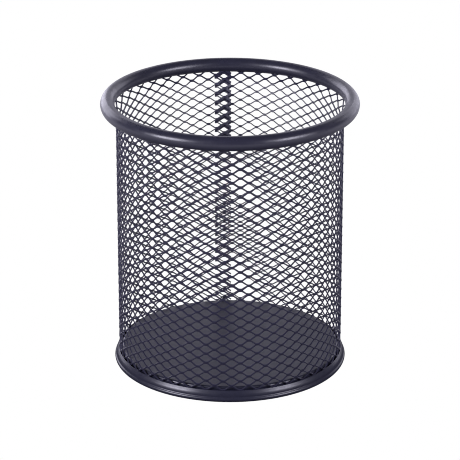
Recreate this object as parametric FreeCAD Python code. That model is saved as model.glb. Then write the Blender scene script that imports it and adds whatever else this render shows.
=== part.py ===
import FreeCAD, Part
import math
import os
from FreeCAD import Vector

# A free-standing pen cup of powder-coated steel: an expanded-metal wall, a rolled tube round its mouth and
# a pressed base pan whose rolled bead is the foot. Millimetres and degrees. The origin is the centre of the
# foot, +Z points out of the mouth, and the wall's lap seam faces +Y.
# Directions round the cup are measured from +Y towards +X.

# --- Overall sizes -------------------------------------------------------------------------------------
CUP_HEIGHT = 100.0
RIM_OUTER_DIAMETER = 91.8
RIM_TUBE_DIAMETER = 5.15
WALL_OUTER_DIAMETER = 80.7
FLOOR_HEIGHT = 5.0

# --- Steel sheet ---------------------------------------------------------------------------------------
WALL_THICKNESS = 0.35
RIM_THICKNESS = 0.4
PAN_THICKNESS = 0.35

# --- Expanded-metal wall -------------------------------------------------------------------------------
# Diamond openings lie on a checkerboard of columns, half a diamond's long way apart, and of rows, half a
# diamond's short way apart. The sheet is bent along its columns and is flat between two of them.
DIAMONDS_PER_TURN = 41.46
SHEET_COLUMNS = 85
DIAMOND_SHORT_WAY = 3.46
OPENING_SHARE = 0.883          # size of an opening compared with its diamond; the rest is strand
FIRST_COLUMN_ANGLE = -7.5
FIRST_COLUMN_OPENING = 84.93   # height of one opening's centre on the first column
ROW_DROP_PER_TURN = 0.6        # the sheet was rolled slightly askew
ROW_BOW = 0.69                 # and its rows arch upwards on the side away from the seam
WALL_FOOT_HEIGHT = 1.0         # the sheet's lower edge, inside the base bead
PLAIN_EDGE = 0.15              # least strip of sheet between an opening and a bend or an edge

# --- Lap seam ------------------------------------------------------------------------------------------
LAP_GAP = 0.15                 # between the two layers
JOGGLE_START = 81              # the sheet steps inwards from this column to the next but one,
JOGGLE_END = 83                # behind the outer layer's cut end
WELD_DIAMETER = 0.6
WELD_COUNT = 8
WELD_ROW_STEP = 3              # one weld in every third diamond

# --- Rolled rim ----------------------------------------------------------------------------------------
# Angles in the tube's section are measured from outwards towards up.
SLOT_CENTRE_ANGLE = 245.0
SLOT_INNER_ANGLE = 227.0
SLOT_OUTER_ANGLE = 254.5
FLARE_ANGLE = 36.0             # the wall's top edge leans outwards by this into the slot
FLARE_INSIDE_TUBE = 1.2

# --- Base pan ------------------------------------------------------------------------------------------
PAN_TO_SEAM_GAP = 0.05
PAN_BEND_RADIUS = 0.8          # outside of the two bends of the pan's upright wall
FOOT_ROLL_RADIUS = 0.95        # outside of the roll at the foot
FOOT_ROLL_CENTRE = 41.11       # its distance from the axis
FOOT_ROLL_TURN = 138.0
CRIMP_RADIUS = 0.8             # middle of the sheet in the crimp groove
CRIMP_TURN = 40.0
CRIMP_FLAT = 0.3
LIP_RADIUS = 2.6               # middle of the sheet in the lip above the crimp
LIP_TURN = 24.0
LIP_FLAT = 0.75

# --- Sizes worked out from the ones above --------------------------------------------------------------
RIM_TUBE_RADIUS = RIM_TUBE_DIAMETER / 2
RIM_CENTRE_RADIUS = RIM_OUTER_DIAMETER / 2 - RIM_TUBE_RADIUS
RIM_CENTRE_HEIGHT = CUP_HEIGHT - RIM_TUBE_RADIUS
RIM_STRIP_RADIUS = RIM_TUBE_RADIUS - RIM_THICKNESS / 2

WALL_INNER_RADIUS = WALL_OUTER_DIAMETER / 2 - WALL_THICKNESS
WALL_SCALE = WALL_OUTER_DIAMETER / 2 / WALL_INNER_RADIUS
LAP_INNER_RADIUS = WALL_INNER_RADIUS - WALL_THICKNESS - LAP_GAP
COLUMN_ANGLE = 180.0 / DIAMONDS_PER_TURN
COLUMNS_PER_TURN = 2 * DIAMONDS_PER_TURN
OPENING_HALF_HEIGHT = DIAMOND_SHORT_WAY / 2 * OPENING_SHARE

SLOT_RADIUS = RIM_CENTRE_RADIUS + RIM_STRIP_RADIUS * math.cos(math.radians(SLOT_CENTRE_ANGLE))
SLOT_HEIGHT = RIM_CENTRE_HEIGHT + RIM_STRIP_RADIUS * math.sin(math.radians(SLOT_CENTRE_ANGLE))
FLARE_SINE = math.sin(math.radians(FLARE_ANGLE))
FLARE_COSINE = math.cos(math.radians(FLARE_ANGLE))
FLARE_TO_SLOT = (SLOT_RADIUS - WALL_INNER_RADIUS - WALL_THICKNESS / 2) / FLARE_SINE
BEND_HEIGHT = SLOT_HEIGHT - FLARE_TO_SLOT * FLARE_COSINE
HALF_BEND_SLOPE = math.tan(math.radians(FLARE_ANGLE / 2))
OUTER_BEND_HEIGHT = BEND_HEIGHT - WALL_THICKNESS * HALF_BEND_SLOPE
FLARE_PIVOT = BEND_HEIGHT + WALL_INNER_RADIUS * HALF_BEND_SLOPE
SHEET_TOP = BEND_HEIGHT + FLARE_TO_SLOT + FLARE_INSIDE_TUBE


def around(radius, angle, height):
    """The point at a distance from the axis, in a direction measured from +Y towards +X."""
    turn = math.radians(angle)
    return Vector(radius * math.sin(turn), radius * math.cos(turn), height)


def flat_face(corners):
    """A flat face with straight edges."""
    return Part.Face(Part.makePolygon(corners + corners[:1]))


def full_turn(section):
    """The ring that a face in the XZ plane sweeps out round the Z axis."""
    return section.revolve(Vector(0, 0, 0), Vector(0, 0, 1), 360)


# --- The expanded-metal sheet --------------------------------------------------------------------------
# A corner of a panel is (across, height, pivot). across runs from 0 at the panel's first column to 1 at the
# next, and height is measured up the flat sheet. pivot is the height of the point on the cup's axis from
# which the inner face is enlarged into the outer face, so that every cut edge between two corners with one
# pivot is flat.
def column_angle(column):
    return FIRST_COLUMN_ANGLE + column * COLUMN_ANGLE


def column_radius(column):
    """Distance of the sheet's inner face from the axis at a column, with the step of the lap seam."""
    share = (column - JOGGLE_START) / (JOGGLE_END - JOGGLE_START)
    share = min(max(share, 0.0), 1.0)
    return WALL_INNER_RADIUS + share * (LAP_INNER_RADIUS - WALL_INNER_RADIUS)


def reference_opening(column):
    """Height of the centre of one opening on a column. The others are whole diamonds above and below."""
    half_row = DIAMOND_SHORT_WAY / 2 * (column % 2)
    turn = column / COLUMNS_PER_TURN
    bow = ROW_BOW * (1 - math.cos(2 * math.pi * turn)) / 2
    return FIRST_COLUMN_OPENING - half_row - ROW_DROP_PER_TURN * turn + bow


def opening_centres(column):
    """Heights of the centres of all whole openings on a column, lowest first."""
    reference = reference_opening(column)
    lowest = WALL_FOOT_HEIGHT + PLAIN_EDGE + OPENING_HALF_HEIGHT
    highest = SHEET_TOP - PLAIN_EDGE - OPENING_HALF_HEIGHT
    below = int((reference - lowest) / DIAMOND_SHORT_WAY)
    above = int((highest - reference) / DIAMOND_SHORT_WAY)
    return [reference + row * DIAMOND_SHORT_WAY for row in range(-below, above + 1)]


def inner_point(column, across, height):
    """A point on the inner face of the panel between a column and the next."""
    rise = max(height - BEND_HEIGHT, 0.0)
    spread = 1.0 + rise * FLARE_SINE / WALL_INNER_RADIUS
    level = height - rise + rise * FLARE_COSINE
    first = around(spread * column_radius(column), column_angle(column), level)
    second = around(spread * column_radius(column + 1), column_angle(column + 1), level)
    return first + (second - first) * across


def outer_point(column, across, height, pivot):
    """The point of the outer face that belongs to a point on the inner face."""
    centre = Vector(0, 0, pivot)
    return centre + (inner_point(column, across, height) - centre) * WALL_SCALE


def panel_side(column, edge, tip):
    """A panel's side along a column, foot to top, with a notch for half of each opening there."""
    side = [(edge, WALL_FOOT_HEIGHT, WALL_FOOT_HEIGHT)]
    for centre in opening_centres(column):
        top = centre + OPENING_HALF_HEIGHT
        pivot = centre if top < OUTER_BEND_HEIGHT - PLAIN_EDGE else FLARE_PIVOT
        side.append((edge, centre - OPENING_HALF_HEIGHT, pivot))
        side.append((tip, centre, pivot))
        side.append((edge, top, pivot))
    side.append((edge, SHEET_TOP, FLARE_PIVOT))
    return side


def split_at_bend(side):
    """A panel side's corners up to the bend line, and from the bend line on."""
    below = [corner for corner in side if corner[1] < BEND_HEIGHT]
    above = side[len(below):]
    start, end = below[-1], above[0]
    share = (BEND_HEIGHT - start[1]) / (end[1] - start[1])
    crossing = (start[0] + share * (end[0] - start[0]), BEND_HEIGHT, FLARE_PIVOT)
    return below + [crossing], [crossing] + above


def edge_wall(column, start, end):
    """The cut face through the sheet's thickness between two corners of a panel."""
    return flat_face([
        inner_point(column, *start[:2]),
        inner_point(column, *end[:2]),
        outer_point(column, *end),
        outer_point(column, *start),
    ])


def panel_faces(column):
    """All faces of the panel between a column and the next, apart from those at the sheet's two ends."""
    left = panel_side(column, 0.0, OPENING_SHARE)
    right = panel_side(column + 1, 1.0, 1.0 - OPENING_SHARE)
    faces = [edge_wall(column, left[0], right[0]), edge_wall(column, left[-1], right[-1])]
    for left_part, right_part in zip(split_at_bend(left), split_at_bend(right)):
        outline = left_part + right_part[::-1]
        faces.append(flat_face([inner_point(column, *corner[:2]) for corner in outline]))
        faces.append(flat_face([outer_point(column, *corner) for corner in outline]))
        for side in (left_part, right_part):
            for start, end in zip(side, side[1:]):
                if start[0] != end[0]:
                    faces.append(edge_wall(column, start, end))
    return faces


def sheet_end_faces(column, side):
    """The faces between the openings that the sheet's cut end runs through."""
    faces = []
    for part in split_at_bend(side):
        for start, end in zip(part, part[1:]):
            if start[0] == end[0]:
                faces.append(edge_wall(column, start, end))
    return faces


def make_mesh_wall():
    """The rolled sheet, from its outer cut end round the cup to its inner one behind the first."""
    faces = sheet_end_faces(0, panel_side(0, 0.0, OPENING_SHARE))
    for column in range(SHEET_COLUMNS):
        faces += panel_faces(column)
    last_side = panel_side(SHEET_COLUMNS, 1.0, 1.0 - OPENING_SHARE)
    faces += sheet_end_faces(SHEET_COLUMNS - 1, last_side)
    shell = Part.makeShell(faces)
    shell.sewShape()
    return Part.Solid(shell)


# --- The welds of the lap seam -------------------------------------------------------------------------
def lap_offset():
    """How far the inner layer's openings lie from the outer layer's, in columns and in half rows."""
    across = (column_angle(JOGGLE_END) - 360.0 - column_angle(0)) / COLUMN_ANGLE
    rise = reference_opening(JOGGLE_END) - reference_opening(0)
    return across, rise / (DIAMOND_SHORT_WAY / 2)


def make_seam_welds():
    """Small round welds where a rising strand of one layer crosses a falling strand of the other."""
    across, rows = lap_offset()
    column = 1 + (across + rows) / 2
    inner = LAP_INNER_RADIUS + WALL_THICKNESS / 2
    outer = WALL_INNER_RADIUS + WALL_THICKNESS / 2
    welds = []
    for weld in range(WELD_COUNT):
        row = (across + rows) / 4 - weld * WELD_ROW_STEP
        height = reference_opening(0) + row * DIAMOND_SHORT_WAY
        start = around(inner, column_angle(column), height)
        end = around(outer, column_angle(column), height)
        welds.append(Part.makeCylinder(WELD_DIAMETER / 2, outer - inner, start, end - start))
    return Part.makeCompound(welds)


# --- Rolled sheet sections -----------------------------------------------------------------------------
def rolled_strip(start, heading, moves, thickness):
    """The section of a strip that follows straight runs and bends, with a rounded free edge.

    moves are ("run", length) or ("bend", radius, turn), along the middle of the strip. A positive turn is
    anticlockwise in the XZ plane, seen with X to the right and Z up.
    """
    point = Vector(*start)
    half = thickness / 2
    left_edges, right_edges = [], []
    for move in moves:
        side = Vector(-math.sin(math.radians(heading)), 0, math.cos(math.radians(heading)))
        ahead = Vector(side.z, 0, -side.x)
        left, right = point + side * half, point - side * half
        if move[0] == "run":
            point = point + ahead * move[1]
            left_edges.append(Part.makeLine(left, point + side * half))
            right_edges.append(Part.makeLine(right, point - side * half))
            continue
        radius, turn = move[1], move[2]
        centre = point + side * math.copysign(radius, turn)
        corners = []
        for share in (0.5, 1.0):
            spoke = FreeCAD.Rotation(Vector(0, -1, 0), turn * share).multVec(point - centre)
            inward = spoke * (-math.copysign(half, turn) / radius)
            corners.append((centre + spoke + inward, centre + spoke - inward, centre + spoke))
        (left_mid, right_mid, middle), (left_end, right_end, point) = corners
        left_edges.append(Part.Arc(left, left_mid, left_end).toShape())
        right_edges.append(Part.Arc(right, right_mid, right_end).toShape())
        heading += turn
    return left_edges, right_edges, point, heading


def strip_face(strip, thickness, round_start):
    """The face between a strip's two sides, closed by its rounded free edge."""
    left_edges, right_edges, point, heading = strip
    half = thickness / 2
    ahead = Vector(math.cos(math.radians(heading)), 0, math.sin(math.radians(heading)))
    side = Vector(-ahead.z, 0, ahead.x)
    tip = Part.Arc(point + side * half, point + ahead * half, point - side * half).toShape()
    first_left = left_edges[0].firstVertex().Point
    first_right = right_edges[0].firstVertex().Point
    if round_start is None:
        start = Part.makeLine(first_right, first_left)
    else:
        start = Part.Arc(first_right, round_start, first_left).toShape()
    edges = left_edges + [tip] + right_edges[::-1] + [start]
    return Part.Face(Part.Wire(Part.__sortEdges__(edges)))


def make_rim_tube():
    """A strip rolled into a tube and the tube into a ring, with a slot that grips the wall's top edge."""
    start_angle = math.radians(SLOT_OUTER_ANGLE)
    start = Vector(
        RIM_CENTRE_RADIUS + RIM_STRIP_RADIUS * math.cos(start_angle),
        0,
        RIM_CENTRE_HEIGHT + RIM_STRIP_RADIUS * math.sin(start_angle),
    )
    heading = SLOT_OUTER_ANGLE + 90.0
    turn = SLOT_INNER_ANGLE + 360.0 - SLOT_OUTER_ANGLE
    strip = rolled_strip(start, heading, [("bend", RIM_STRIP_RADIUS, turn)], RIM_THICKNESS)
    behind = Vector(math.cos(math.radians(heading)), 0, math.sin(math.radians(heading)))
    rounded = start - behind * (RIM_THICKNESS / 2)
    return full_turn(strip_face(strip, RIM_THICKNESS, rounded))


def make_base_pan():
    """The floor, its upright wall inside the cup's wall, and the bead rolled up round the outside."""
    half = PAN_THICKNESS / 2
    bend = PAN_BEND_RADIUS - half
    upright = LAP_INNER_RADIUS - PAN_TO_SEAM_GAP - half
    drop = FLOOR_HEIGHT - 2 * PAN_BEND_RADIUS
    moves = [
        ("run", upright - bend),
        ("bend", bend, -90.0),
        ("run", drop),
        ("bend", bend, 90.0),
        ("run", FOOT_ROLL_CENTRE - upright - bend),
        ("bend", FOOT_ROLL_RADIUS - half, FOOT_ROLL_TURN),
        ("bend", CRIMP_RADIUS, -CRIMP_TURN),
        ("run", CRIMP_FLAT),
        ("bend", LIP_RADIUS, LIP_TURN),
        ("run", LIP_FLAT),
    ]
    strip = rolled_strip(Vector(0, 0, FLOOR_HEIGHT - half), 0.0, moves, PAN_THICKNESS)
    return full_turn(strip_face(strip, PAN_THICKNESS, None))


def main():
    pieces = {
        "mesh_wall": make_mesh_wall(),
        "seam_welds": make_seam_welds(),
        "rim_tube": make_rim_tube(),
        "base_pan": make_base_pan(),
    }
    os.makedirs("parts", exist_ok=True)
    for name, piece in pieces.items():
        if not piece.isValid():
            raise SystemExit(name + " isn't a valid solid")
        piece.exportStep(os.path.join("parts", name + ".step"))
        box = piece.BoundBox
        print(name, len(piece.Faces), "faces", round(piece.Volume, 1), "mm3, z", box.ZMin, box.ZMax)


main()
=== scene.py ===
import math

import bmesh
import bpy
import numpy as np
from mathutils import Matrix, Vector


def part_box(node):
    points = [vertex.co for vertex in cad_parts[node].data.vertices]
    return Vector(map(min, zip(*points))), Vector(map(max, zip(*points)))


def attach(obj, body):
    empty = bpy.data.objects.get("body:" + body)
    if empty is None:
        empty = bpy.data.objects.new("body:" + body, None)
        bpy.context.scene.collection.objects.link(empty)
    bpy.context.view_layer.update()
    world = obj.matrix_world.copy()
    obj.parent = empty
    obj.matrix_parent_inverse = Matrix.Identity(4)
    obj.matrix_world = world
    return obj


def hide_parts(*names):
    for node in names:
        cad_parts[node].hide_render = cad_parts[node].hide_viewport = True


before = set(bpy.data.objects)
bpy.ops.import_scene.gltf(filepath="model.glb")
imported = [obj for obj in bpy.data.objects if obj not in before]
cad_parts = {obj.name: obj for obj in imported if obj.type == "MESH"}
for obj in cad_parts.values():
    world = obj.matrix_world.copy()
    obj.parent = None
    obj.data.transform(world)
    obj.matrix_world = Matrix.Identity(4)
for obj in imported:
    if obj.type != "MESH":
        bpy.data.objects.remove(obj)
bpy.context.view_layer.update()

# A pen cup of powder-coated steel: an expanded-metal wall, a rolled rim and a pressed base. Metres and
# degrees. Directions round the cup are measured from +Y, where the lap seam is, towards +X.
MM = 0.001

# --- Sizes read from the frame ---------------------------------------------------------------------------
RIM_LOW, RIM_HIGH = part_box("rim_tube")
RIM_OUTER_RADIUS = RIM_HIGH.x
RIM_TUBE_RADIUS = (RIM_HIGH.z - RIM_LOW.z) / 2
RIM_CENTRE_RADIUS = RIM_OUTER_RADIUS - RIM_TUBE_RADIUS
RIM_CENTRE_HEIGHT = RIM_HIGH.z - RIM_TUBE_RADIUS
FLOOR_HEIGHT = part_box("base_pan")[1].z
WALL_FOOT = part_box("mesh_wall")[0].z

# --- Expanded sheet: the same lattice as the CAD wall ----------------------------------------------------
DIAMONDS_PER_TURN = 41.46
COLUMN_ANGLE = 180.0 / DIAMONDS_PER_TURN
COLUMNS_PER_TURN = 2 * DIAMONDS_PER_TURN
FIRST_COLUMN_ANGLE = -7.5      # direction of column 0, beside the seam
SHEET_START = -0.119           # the outer layer's cut end, in columns
SHEET_END = 84.76              # the inner layer's cut end
ROW_HEIGHT = 1.73 * MM         # half a diamond's short way
FIRST_BOND_HEIGHT = 86.66 * MM # height of one bond on the first column
ROW_DROP_PER_TURN = 0.6 * MM   # the sheet was rolled slightly askew
ROW_BOW = 0.69 * MM            # the rows also arch upwards on the side away from the seam
SHEET_RADIUS = 40.175 * MM     # middle of the sheet
LAP_STEP = 0.5 * MM            # the inner layer lies this much nearer to the axis
JOGGLE_START = 81.0            # the sheet steps inwards from this column
JOGGLE_END = 83.0              # to this one
STRAND_PITCH = 0.28 * MM       # between the two strands that meet in a bond
STRAND_WIDTH = 0.34 * MM       # with the coat on both edges
BOND_STRAND_WIDTH = 0.54 * MM  # where two strands meet
STRAND_THICKNESS = 0.40 * MM
STRAND_LEAN = 24.0             # each strand's upper edge leans outwards
HALF_BOND = 0.12               # half of a bond's length, in columns
STRAND_EASE = 0.12             # where a strand has left its bond's level, in columns past the bond
EASE_RISE = 0.12               # share of the climb that is done there
COAT_BUILD = 0.14 * MM         # extra width of the strands where it is greatest,
COAT_BUILD_TURN = 0.72         # which is this share of a turn from the first column
COAT_BUILD_FOCUS = 3.0         # a higher power gathers it more closely there

# In the lap, the bonds are mashed by the seam welder, and coat bridges the strands of the two layers where
# they lie side by side. Rising strands do so all along the lap. Falling ones are apart in its first half.
LAP_COLUMNS = SHEET_END - SHEET_START - COLUMNS_PER_TURN
LAP_BOND_WIDTH = 0.68 * MM
LAP_RISING_WIDTH = 0.80 * MM
LAP_FALLING_WIDTH = (0.34 * MM, 0.86 * MM)  # in the lap's first half, and in its second
LAP_BRIDGED = (60.0 * MM, 68.0 * MM)        # the bridging falls off down this stretch
LAP_LOW_SHARE = 0.25                        # to this share, which goes on down to the foot

# The corners of a strand's section, each with its side: (up, out).
SECTION_CORNERS = ((-1, 1), (-1, -1), (1, -1), (1, 1))
LOWER_OUTER, LOWER_INNER, UPPER_INNER, UPPER_OUTER = range(len(SECTION_CORNERS))

# --- Flare of the wall's top edge into the rim -----------------------------------------------------------
FLARE_ANGLE = 36.0
BEND_RADIUS = 2.0 * MM
BEND_HEIGHT = 92.32 * MM
SHEET_TOP = 98.9 * MM          # highest bond along the sheet, inside the rim tube

# --- Rim strip -------------------------------------------------------------------------------------------
RIM_THICKNESS = 0.4 * MM
SLOT_INNER_ANGLE = 227.0       # in the tube's section, from outwards towards up
SLOT_OUTER_ANGLE = 254.5

# --- Base strip ------------------------------------------------------------------------------------------
PAN_THICKNESS = 0.35 * MM
PAN_BEND_RADIUS = 0.8 * MM
PAN_UPRIGHT_RADIUS = 39.45 * MM
FOOT_ROLL_RADIUS = 0.95 * MM
FOOT_ROLL_CENTRE = 41.11 * MM
FOOT_ROLL_TURN = 138.0
CRIMP_RADIUS = 0.8 * MM
CRIMP_TURN = 40.0
CRIMP_FLAT = 0.3 * MM
LIP_RADIUS = 2.6 * MM
LIP_TURN = 24.0
LIP_FLAT = 0.75 * MM

# --- Fineness of the meshes ------------------------------------------------------------------------------
TURN_STEPS = 288               # facets round the rim and the base
AXIS_REACH = 0.001 * MM        # nearer than this is on the axis
ARC_STEP = 9.0                 # between points on a section's bends
TIP_STEP = 30.0                # between points round a strip's free edge
RUN_MARGIN = 0.02              # a straight run has points this share of it from its ends, to shade it flat
SHARP_ANGLE = 50.0             # faces that meet at more than this keep a crisp edge

# --- Powder coat -----------------------------------------------------------------------------------------
RIM_COLOUR = (0.0155, 0.0155, 0.027)
# painted light: the mesh has the same coat as the rim and the base, painted lighter here to stand in for
# more light on the strands
MESH_COLOUR_WITH_PAINTED_LIGHT = (0.021, 0.0205, 0.041)
BASE_COLOUR = (0.0150, 0.0155, 0.0290)
RIM_ROUGHNESS = 0.35
MESH_ROUGHNESS = 0.46
BASE_ROUGHNESS = 0.34
COAT_IOR = 1.5
# Noise textures of the coat: the size of their features, and how much finer detail they have
SHADE_NOISE = (28 * MM, 2.0)
SPECKLE_NOISE = (0.38 * MM, 1.0)
GLOSS_NOISE = (2.5 * MM, 3.0)
PEBBLE_NOISE = (0.55 * MM, 2.0)
RUB_NOISE = (6 * MM, 3.0)
NOISE_RANGE = (0.3, 0.7)       # where nearly all values of a noise texture lie
SHADE_SPREAD = (0.94, 1.06)
SPECKLE_SPREAD = (0.85, 1.15)
FULL_SPREAD = (0.0, 1.0)
GLOSS_CHANGE = 0.04
PEBBLE_HEIGHT = 0.0016 * MM
RUB_LIGHTER = 0.35             # where the coat is rubbed most
RUB_SMOOTHER = 0.09

# --- Studio ----------------------------------------------------------------------------------------------
CAMERA_TARGET_HEIGHT = 0.04895
CAMERA_DISTANCE = 0.95078
CAMERA_ELEVATION = 21.531
CAMERA_LENS = 206.54
CAMERA_NEAR = 0.01
SENSOR_WIDTH = 36.0
PIXEL_FILTER = 1.0             # narrower than usual, for a picture as crisp as a product photo
LIGHT_DISTANCE = 1.1
LIGHT_COLOUR = (1.0, 0.975, 1.14)  # faintly violet
# azimuth, elevation, size and power of each soft light
LIGHTS = {
    "left_softbox": (-55.0, 22.0, 0.42, 12.5),
    "right_softbox": (55.0, 22.0, 0.42, 8.2),
    "left_rear_panel": (-145.0, 12.0, 0.8, 6.0),
    "right_rear_panel": (145.0, 12.0, 0.8, 3.2),
    "rear_panel": (180.0, 22.0, 0.6, 0.9),
}
WHITE_TO_CAMERA = 1.0          # glow of the floor and the room, as the camera sees them
ROOM_GLOW = 0.10               # as the room lights the cup
FLOOR_GLOW = (0.08, 0.94)      # as the floor lights the cup: close to the cup, and further out
FLOOR_GLOW_REACH = (0.06, 0.30)  # distances from the axis between which it changes
FLOOR_REACH = 4.0


# --- Mesh helpers ----------------------------------------------------------------------------------------
def make_piece(name, points, faces, material, node):
    """A smooth-shaded mesh piece that stands for a CAD node and rides on the cup.

    Points that no face uses are left out.
    """
    mesh = bpy.data.meshes.new(name)
    mesh.from_pydata([tuple(p) for p in points], [], [tuple(int(i) for i in f) for f in faces])
    mesh.validate()
    loose = bmesh.new()
    loose.from_mesh(mesh)
    bmesh.ops.delete(loose, geom=[v for v in loose.verts if not v.link_faces], context="VERTS")
    loose.to_mesh(mesh)
    loose.free()
    mesh.polygons.foreach_set("use_smooth", [True] * len(mesh.polygons))
    mesh.set_sharp_from_angle(angle=math.radians(SHARP_ANGLE))
    mesh.materials.append(material)
    mesh.update()
    piece = bpy.data.objects.new(name, mesh)
    bpy.context.scene.collection.objects.link(piece)
    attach(piece, "root")
    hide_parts(node)
    return piece


def full_turn(outline):
    """Points and faces that a closed outline of (radius, height) sweeps out round the Z axis.

    Points of the outline that lie on the axis become one point each.
    """
    outline = np.array(outline)
    turns = np.radians(np.arange(TURN_STEPS) * 360.0 / TURN_STEPS)
    points = np.stack([
        np.outer(np.sin(turns), outline[:, 0]),
        np.outer(np.cos(turns), outline[:, 0]),
        np.tile(outline[:, 1], (TURN_STEPS, 1)),
    ], -1).reshape(-1, 3)
    count = len(outline)
    on_axis = outline[:, 0] < AXIS_REACH
    faces = []
    for turn in range(TURN_STEPS):
        here, there = turn * count, (turn + 1) % TURN_STEPS * count
        for i in range(count):
            j = (i + 1) % count
            if on_axis[i] and on_axis[j]:
                continue
            if on_axis[i]:
                faces.append((there + j, here + j, i))
            elif on_axis[j]:
                faces.append((there + i, j, here + i))
            else:
                faces.append((there + i, there + j, here + j, here + i))
    return points, faces


# --- The expanded-metal wall -----------------------------------------------------------------------------
def bond_height(column, row):
    """Height up the sheet of a bond's middle. Bonds lie where column and row are both even or both odd."""
    turn = column / COLUMNS_PER_TURN
    askew = ROW_DROP_PER_TURN * turn
    bow = ROW_BOW * (1.0 - np.cos(2 * math.pi * turn)) / 2
    return FIRST_BOND_HEIGHT + row * ROW_HEIGHT - askew + bow


def sheet_radius(column):
    """Distance of the sheet's middle from the axis, with the smooth step of the lap seam."""
    share = np.clip((column - JOGGLE_START) / (JOGGLE_END - JOGGLE_START), 0.0, 1.0)
    return SHEET_RADIUS - LAP_STEP * share * share * (3 - 2 * share)


def place_on_wall(column, height, depth):
    """Points of space from places on the sheet: column, height along it, and depth outwards from it."""
    flare = math.radians(FLARE_ANGLE)
    bend_length = BEND_RADIUS * flare
    tangent = BEND_RADIUS * math.tan(flare / 2)
    start = BEND_HEIGHT - tangent
    lean = np.clip((height - start) / bend_length, 0.0, 1.0) * flare
    beyond = np.maximum(height - start - bend_length, 0.0)
    out = BEND_RADIUS * (1 - np.cos(lean)) + beyond * math.sin(flare)
    level = np.minimum(height, start) + BEND_RADIUS * np.sin(lean) + beyond * math.cos(flare)
    radius = sheet_radius(column) + out + depth * np.cos(lean)
    angle = np.radians(FIRST_COLUMN_ANGLE + column * COLUMN_ANGLE)
    return np.stack([radius * np.sin(angle), radius * np.cos(angle), level - depth * np.sin(lean)], -1)


def strand_stations():
    """Places along the sheet, in columns, where a strand has a section, and which of them start a bond."""
    stations = []
    bond_starts = []
    for column in range(math.ceil(SHEET_END)):
        bond_starts.append(len(stations))
        stations += [
            column - HALF_BOND,
            column + HALF_BOND,
            column + HALF_BOND + STRAND_EASE,
            column + 1 - HALF_BOND - STRAND_EASE,
        ]
    stations = np.array(stations)
    stations = stations[stations < SHEET_END]
    stations = np.append(stations, SHEET_END)
    stations[0] = SHEET_START
    return stations, [start for start in bond_starts if start + 1 < len(stations)]


def ribbon_path(stations, row):
    """Height and depth of the zigzag ribbon between two rows of bonds, at each station."""
    phase = stations + HALF_BOND
    column = np.floor(phase)
    along = phase - column - 2 * HALF_BOND
    span = 1 - 2 * HALF_BOND
    knots = [0.0, STRAND_EASE, span - STRAND_EASE, span]
    climb = np.interp(np.clip(along, 0.0, span), knots, [0.0, EASE_RISE, 1 - EASE_RISE, 1.0])
    dips_first = (column + row) % 2 == 0
    level = np.where(dips_first, climb, 1 - climb)
    lean = math.radians(STRAND_LEAN)
    half = STRAND_PITCH / 2
    low = bond_height(stations, row) + half * math.cos(lean)
    high = bond_height(stations, row + 1) - half * math.cos(lean)
    height = low + (high - low) * level
    depth = half * math.sin(lean) * (1 - 2 * level)
    return height, depth


def strand_widths(stations, row):
    """Width of the ribbon between two rows of bonds at each station, wider in the lap and in heavy coat."""
    phase = stations + HALF_BOND
    at_bond = phase - np.floor(phase) < 2 * HALF_BOND + STRAND_EASE / 2
    at_bond |= phase - np.floor(phase) > 1 - STRAND_EASE / 2
    usual = np.where(at_bond, BOND_STRAND_WIDTH, STRAND_WIDTH)
    across_lap = (stations - SHEET_START) % COLUMNS_PER_TURN / LAP_COLUMNS
    falling = np.where(across_lap < 0.5, *LAP_FALLING_WIDTH)
    rises = (np.floor(phase) + row) % 2 == 0
    mashed = np.where(at_bond, LAP_BOND_WIDTH, np.where(rises, LAP_RISING_WIDTH, falling))
    bridging = np.interp(bond_height(stations, row), LAP_BRIDGED, (LAP_LOW_SHARE, 1.0))
    widths = np.where(across_lap < 1.0, usual + bridging * (mashed - usual), usual)
    facing = (1.0 + np.cos(2 * math.pi * (stations / COLUMNS_PER_TURN - COAT_BUILD_TURN))) / 2
    return widths + COAT_BUILD * facing ** COAT_BUILD_FOCUS


def ribbon_sections(stations, row):
    """The four corners of the ribbon's section at each station, mitred where the ribbon changes slope."""
    height, depth = ribbon_path(stations, row)
    along = stations * math.radians(COLUMN_ANGLE) * SHEET_RADIUS
    steps = np.diff(height) / np.diff(along)
    before = np.arctan(np.concatenate([steps[:1], steps]))
    after = np.arctan(np.concatenate([steps, steps[-1:]]))
    slope = (before + after) / 2
    mitre = 1 / np.cos((after - before) / 2)
    lean = math.radians(STRAND_LEAN)
    half_width = strand_widths(stations, row) / 2
    corners = []
    for up, out in SECTION_CORNERS:
        rise = up * half_width * math.cos(lean) - out * STRAND_THICKNESS / 2 * math.sin(lean)
        outwards = up * half_width * math.sin(lean) + out * STRAND_THICKNESS / 2 * math.cos(lean)
        across = rise * mitre
        column = stations - across * np.sin(slope) / (math.radians(COLUMN_ANGLE) * SHEET_RADIUS)
        corners.append(place_on_wall(column, height + across * np.cos(slope), depth + outwards))
    return np.stack(corners, 1)


def ribbon_rows():
    """The rows whose ribbons lie whole between the wall's foot and the sheet's top."""
    lowest = math.ceil((WALL_FOOT - bond_height(COLUMNS_PER_TURN, 0)) / ROW_HEIGHT)
    highest = math.floor((SHEET_TOP - bond_height(COLUMNS_PER_TURN / 2, 0)) / ROW_HEIGHT) - 1
    return range(lowest, highest + 1)


def join_bonds(points, index, rows, bond_starts):
    """Give each ribbon and the one above it the same points along the bonds between them.

    Returns, by layer and station, whether the run to the next station is such a bond.
    """
    bonded_above = np.zeros(index.shape[:2], bool)
    for layer, row in enumerate(rows[:-1]):
        for column, start in enumerate(bond_starts):
            if (column + row) % 2 == 0:
                continue
            bonded_above[layer, start] = True
            for station in (start, start + 1):
                for top, bottom in ((UPPER_OUTER, LOWER_OUTER), (UPPER_INNER, LOWER_INNER)):
                    middle = (points[layer, station, top] + points[layer + 1, station, bottom]) / 2
                    points[layer, station, top] = middle
                    index[layer + 1, station, bottom] = index[layer, station, top]
    return bonded_above


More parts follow.
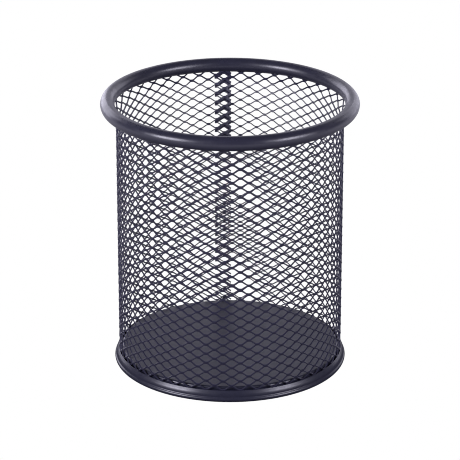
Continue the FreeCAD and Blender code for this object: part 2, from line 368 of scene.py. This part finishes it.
def ribbon_faces(corners, bonded_below, bonded_above):
    """The ends and long sides of one ribbon, apart from the sides that lie inside a bond.

    A side runs from one corner of the section to the next and goes by the name of the first.
    """
    faces = [corners[0], corners[-1][::-1]]
    for station, (here, there) in enumerate(zip(corners, corners[1:])):
        inside = {LOWER_OUTER: bonded_below[station], UPPER_INNER: bonded_above[station]}
        for side in range(len(SECTION_CORNERS)):
            if not inside.get(side):
                turn = (side + 1) % len(SECTION_CORNERS)
                faces.append((there[side], there[turn], here[turn], here[side]))
    return faces


def expanded_wall(material):
    """One welded mesh of zigzag ribbons, each bonded to the next above and below at every second column."""
    stations, bond_starts = strand_stations()
    rows = ribbon_rows()
    points = np.stack([ribbon_sections(stations, row) for row in rows])
    index = np.arange(points[..., 0].size).reshape(points.shape[:3])
    bonded_above = join_bonds(points, index, rows, bond_starts)
    bonded_below = np.roll(bonded_above, 1, axis=0)
    faces = []
    for layer in range(len(rows)):
        faces += ribbon_faces(index[layer], bonded_below[layer], bonded_above[layer])
    points = points.reshape(-1, 3)
    return make_piece("expanded_wall", points, faces, material, "mesh_wall")


# --- Rolled sections -------------------------------------------------------------------------------------
def rolled_strip(start, heading, moves, thickness):
    """The closed outline of a strip that follows straight runs and bends, with a rounded free edge.

    moves are ("run", length) or ("bend", radius, turn) along the middle of the strip; a positive turn is to
    the left.
    """
    point = np.array(start)
    half = thickness / 2
    centres, headings = [point], [heading]
    for move in moves:
        if move[0] == "run":
            ahead = move[1] * np.array([math.cos(math.radians(heading)), math.sin(math.radians(heading))])
            centres += [point + ahead * share for share in (RUN_MARGIN, 1 - RUN_MARGIN, 1.0)]
            headings += [heading] * 3
            point = point + ahead
            continue
        radius, turn = move[1], move[2]
        steps = max(2, math.ceil(abs(turn) / ARC_STEP))
        side = math.copysign(1.0, turn)
        for _ in range(steps):
            chord_heading = math.radians(heading + turn / steps / 2)
            chord = 2 * radius * math.sin(math.radians(abs(turn) / steps / 2))
            point = point + chord * np.array([math.cos(chord_heading), math.sin(chord_heading)])
            heading += turn / steps
            centres.append(point)
            headings.append(heading)
    turned = np.radians(headings)
    across = np.stack([-np.sin(turned), np.cos(turned)], -1) * half
    left = np.array(centres) + across
    right = np.array(centres) - across
    tip_turns = np.radians(heading + np.arange(90.0 - TIP_STEP, -90.0, -TIP_STEP))
    tip = centres[-1] + half * np.stack([np.cos(tip_turns), np.sin(tip_turns)], -1)
    return np.concatenate([left, tip, right[::-1]])


def rolled_rim(material):
    """The rim: a strip rolled into a tube with a slot underneath, and the tube into a ring."""
    strip_radius = RIM_TUBE_RADIUS - RIM_THICKNESS / 2
    angle = math.radians(SLOT_OUTER_ANGLE)
    start = (
        RIM_CENTRE_RADIUS + strip_radius * math.cos(angle),
        RIM_CENTRE_HEIGHT + strip_radius * math.sin(angle),
    )
    turn = SLOT_INNER_ANGLE + 360.0 - SLOT_OUTER_ANGLE
    outline = rolled_strip(start, SLOT_OUTER_ANGLE + 90.0, [("bend", strip_radius, turn)], RIM_THICKNESS)
    points, faces = full_turn(outline)
    return make_piece("rolled_rim", points, faces, material, "rim_tube")


def pressed_base(material):
    """The base: a raised floor, its upright wall inside the cup's wall, and the bead rolled up outside."""
    half = PAN_THICKNESS / 2
    bend = PAN_BEND_RADIUS - half
    upright = PAN_UPRIGHT_RADIUS - half
    moves = [
        ("run", upright - bend),
        ("bend", bend, -90.0),
        ("run", FLOOR_HEIGHT - 2 * PAN_BEND_RADIUS),
        ("bend", bend, 90.0),
        ("run", FOOT_ROLL_CENTRE - upright - bend),
        ("bend", FOOT_ROLL_RADIUS - half, FOOT_ROLL_TURN),
        ("bend", CRIMP_RADIUS, -CRIMP_TURN),
        ("run", CRIMP_FLAT),
        ("bend", LIP_RADIUS, LIP_TURN),
        ("run", LIP_FLAT),
    ]
    outline = rolled_strip((0.0, FLOOR_HEIGHT - half), 0.0, moves, PAN_THICKNESS)
    points, faces = full_turn(outline)
    return make_piece("pressed_base", points, faces, material, "base_pan")


# --- Powder coat -----------------------------------------------------------------------------------------
def powder_coat(name, colour, roughness, rubbed=None):
    """Satin powder coat: a fine pebbled skin, faint speckle, and slow changes of shade and gloss.

    rubbed gives two heights: from the first to the second, the coat is more and more polished by use.
    """
    material = bpy.data.materials.new(name)
    material.use_nodes = True
    nodes, links = material.node_tree.nodes, material.node_tree.links
    shader = nodes["Principled BSDF"]
    shader.inputs["IOR"].default_value = COAT_IOR
    coordinates = nodes.new("ShaderNodeTexCoord")

    def noise(size, detail, low, high):
        """Noise with features of about a size, spread over a range of values."""
        texture = nodes.new("ShaderNodeTexNoise")
        texture.inputs["Scale"].default_value = 1.0 / size
        texture.inputs["Detail"].default_value = detail
        links.new(coordinates.outputs["Object"], texture.inputs["Vector"])
        ranged = nodes.new("ShaderNodeMapRange")
        ranged.inputs["From Min"].default_value, ranged.inputs["From Max"].default_value = NOISE_RANGE
        ranged.inputs["To Min"].default_value = low
        ranged.inputs["To Max"].default_value = high
        links.new(texture.outputs["Fac"], ranged.inputs["Value"])
        return ranged.outputs["Result"]

    def combine(operation, *values):
        """The result of a calculation with outputs of nodes and plain numbers."""
        node = nodes.new("ShaderNodeMath")
        node.operation = operation
        for socket, value in zip(node.inputs, values):
            if isinstance(value, float):
                socket.default_value = value
            else:
                links.new(value, socket)
        return node.outputs["Value"]

    shade = combine("MULTIPLY", noise(*SHADE_NOISE, *SHADE_SPREAD), noise(*SPECKLE_NOISE, *SPECKLE_SPREAD))
    gloss = noise(*GLOSS_NOISE, roughness - GLOSS_CHANGE, roughness + GLOSS_CHANGE)
    if rubbed:
        place = nodes.new("ShaderNodeSeparateXYZ")
        links.new(coordinates.outputs["Object"], place.inputs["Vector"])
        height = nodes.new("ShaderNodeMapRange")
        height.inputs["From Min"].default_value, height.inputs["From Max"].default_value = rubbed
        links.new(place.outputs["Z"], height.inputs["Value"])
        rub = combine("MULTIPLY", height.outputs["Result"], noise(*RUB_NOISE, *FULL_SPREAD))
        shade = combine("MULTIPLY", shade, combine("MULTIPLY_ADD", rub, RUB_LIGHTER, 1.0))
        gloss = combine("MULTIPLY_ADD", rub, -RUB_SMOOTHER, gloss)
    tint = nodes.new("ShaderNodeVectorMath")
    tint.operation = "SCALE"
    tint.inputs[0].default_value = colour
    links.new(shade, tint.inputs["Scale"])
    links.new(tint.outputs[0], shader.inputs["Base Color"])
    links.new(gloss, shader.inputs["Roughness"])
    bump = nodes.new("ShaderNodeBump")
    bump.inputs["Distance"].default_value = PEBBLE_HEIGHT
    links.new(noise(*PEBBLE_NOISE, *FULL_SPREAD), bump.inputs["Height"])
    links.new(bump.outputs["Normal"], shader.inputs["Normal"])
    return material


# --- Studio ----------------------------------------------------------------------------------------------
def direction(azimuth, elevation):
    """A unit vector. Azimuth 0 is towards the camera, and it is positive to the camera's right."""
    a, e = math.radians(azimuth), math.radians(elevation)
    return Vector((math.sin(a) * math.cos(e), -math.cos(a) * math.cos(e), math.sin(e)))


def aim(thing, place, target):
    """Put a camera or a light at a place and turn it to face a target."""
    thing.location = place
    thing.rotation_euler = (target - place).to_track_quat("-Z", "Y").to_euler()


def make_camera():
    """A long lens that looks slightly down at the cup."""
    target = Vector((0.0, 0.0, CAMERA_TARGET_HEIGHT))
    camera = bpy.data.objects.new("camera", bpy.data.cameras.new("camera"))
    bpy.context.scene.collection.objects.link(camera)
    camera.data.lens = CAMERA_LENS
    camera.data.sensor_width = SENSOR_WIDTH
    camera.data.clip_start = CAMERA_NEAR
    aim(camera, target + direction(0.0, CAMERA_ELEVATION) * CAMERA_DISTANCE, target)
    bpy.context.scene.camera = camera


def make_lights():
    """Square soft lights round the cup, which face its middle and can't be seen by the camera."""
    target = Vector((0.0, 0.0, RIM_CENTRE_HEIGHT / 2))
    for name, (azimuth, elevation, size, power) in LIGHTS.items():
        light = bpy.data.lights.new(name, "AREA")
        light.shape = "SQUARE"
        light.size = size
        light.energy = power
        light.color = LIGHT_COLOUR
        lamp = bpy.data.objects.new(name, light)
        lamp.visible_camera = False
        bpy.context.scene.collection.objects.link(lamp)
        aim(lamp, target + direction(azimuth, elevation) * LIGHT_DISTANCE, target)


def glow_for_camera(nodes, links, shader, seen, given):
    """A glow that is plain white at one strength to the camera, and tinted at another as light on the cup.

    given is a strength, or an output of a node that gives it.
    """
    path = nodes.new("ShaderNodeLightPath")
    strength = nodes.new("ShaderNodeMapRange")
    strength.inputs["To Max"].default_value = seen
    if isinstance(given, float):
        strength.inputs["To Min"].default_value = given
    else:
        links.new(given, strength.inputs["To Min"])
    links.new(path.outputs["Is Camera Ray"], strength.inputs["Value"])
    links.new(strength.outputs["Result"], shader.inputs["Strength"])
    colour = nodes.new("ShaderNodeMix")
    colour.data_type = "RGBA"
    colour.inputs["A"].default_value = (*LIGHT_COLOUR, 1.0)
    colour.inputs["B"].default_value = (1.0, 1.0, 1.0, 1.0)
    links.new(path.outputs["Is Camera Ray"], colour.inputs["Factor"])
    links.new(colour.outputs["Result"], shader.inputs["Color"])


def floor_material():
    """Plain white to the camera; as light on the cup it is dim close to the cup and bright further out."""
    material = bpy.data.materials.new("pale_floor")
    material.use_nodes = True
    nodes, links = material.node_tree.nodes, material.node_tree.links
    nodes.clear()
    place = nodes.new("ShaderNodeTexCoord")
    distance = nodes.new("ShaderNodeVectorMath")
    distance.operation = "LENGTH"
    links.new(place.outputs["Object"], distance.inputs[0])
    given = nodes.new("ShaderNodeMapRange")
    given.inputs["From Min"].default_value, given.inputs["From Max"].default_value = FLOOR_GLOW_REACH
    given.inputs["To Min"].default_value, given.inputs["To Max"].default_value = FLOOR_GLOW
    links.new(distance.outputs["Value"], given.inputs["Value"])
    glow = nodes.new("ShaderNodeEmission")
    glow_for_camera(nodes, links, glow, WHITE_TO_CAMERA, given.outputs["Result"])
    output = nodes.new("ShaderNodeOutputMaterial")
    links.new(glow.outputs[0], output.inputs["Surface"])
    return material


def make_floor():
    """A large pale table top."""
    mesh = bpy.data.meshes.new("floor")
    corners = [(x * FLOOR_REACH, y * FLOOR_REACH, 0.0) for x, y in ((-1, -1), (1, -1), (1, 1), (-1, 1))]
    mesh.from_pydata(corners, [], [(0, 1, 2, 3)])
    mesh.materials.append(floor_material())
    floor = bpy.data.objects.new("floor", mesh)
    bpy.context.scene.collection.objects.link(floor)


def make_world():
    """A white room to the camera, and a dim one to the light that falls on the cup."""
    world = bpy.data.worlds.new("studio")
    bpy.context.scene.world = world
    world.use_nodes = True
    nodes, links = world.node_tree.nodes, world.node_tree.links
    glow_for_camera(nodes, links, nodes["Background"], WHITE_TO_CAMERA, ROOM_GLOW)


make_camera()
make_lights()
make_floor()
make_world()
bpy.context.scene.view_settings.view_transform = "Standard"
bpy.context.scene.cycles.filter_width = PIXEL_FILTER

top_of_rim = (RIM_CENTRE_HEIGHT, RIM_HIGH.z)
underside_of_foot = (FOOT_ROLL_RADIUS, 0.0)
rim_coat = powder_coat("powder_coat_rim", RIM_COLOUR, RIM_ROUGHNESS, rubbed=top_of_rim)
mesh_coat = powder_coat("powder_coat_mesh", MESH_COLOUR_WITH_PAINTED_LIGHT, MESH_ROUGHNESS)
base_coat = powder_coat("powder_coat_base", BASE_COLOUR, BASE_ROUGHNESS, rubbed=underside_of_foot)

expanded_wall(mesh_coat)
rolled_rim(rim_coat)
pressed_base(base_coat)
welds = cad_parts["seam_welds"]
welds.data.materials.clear()
welds.data.materials.append(mesh_coat)
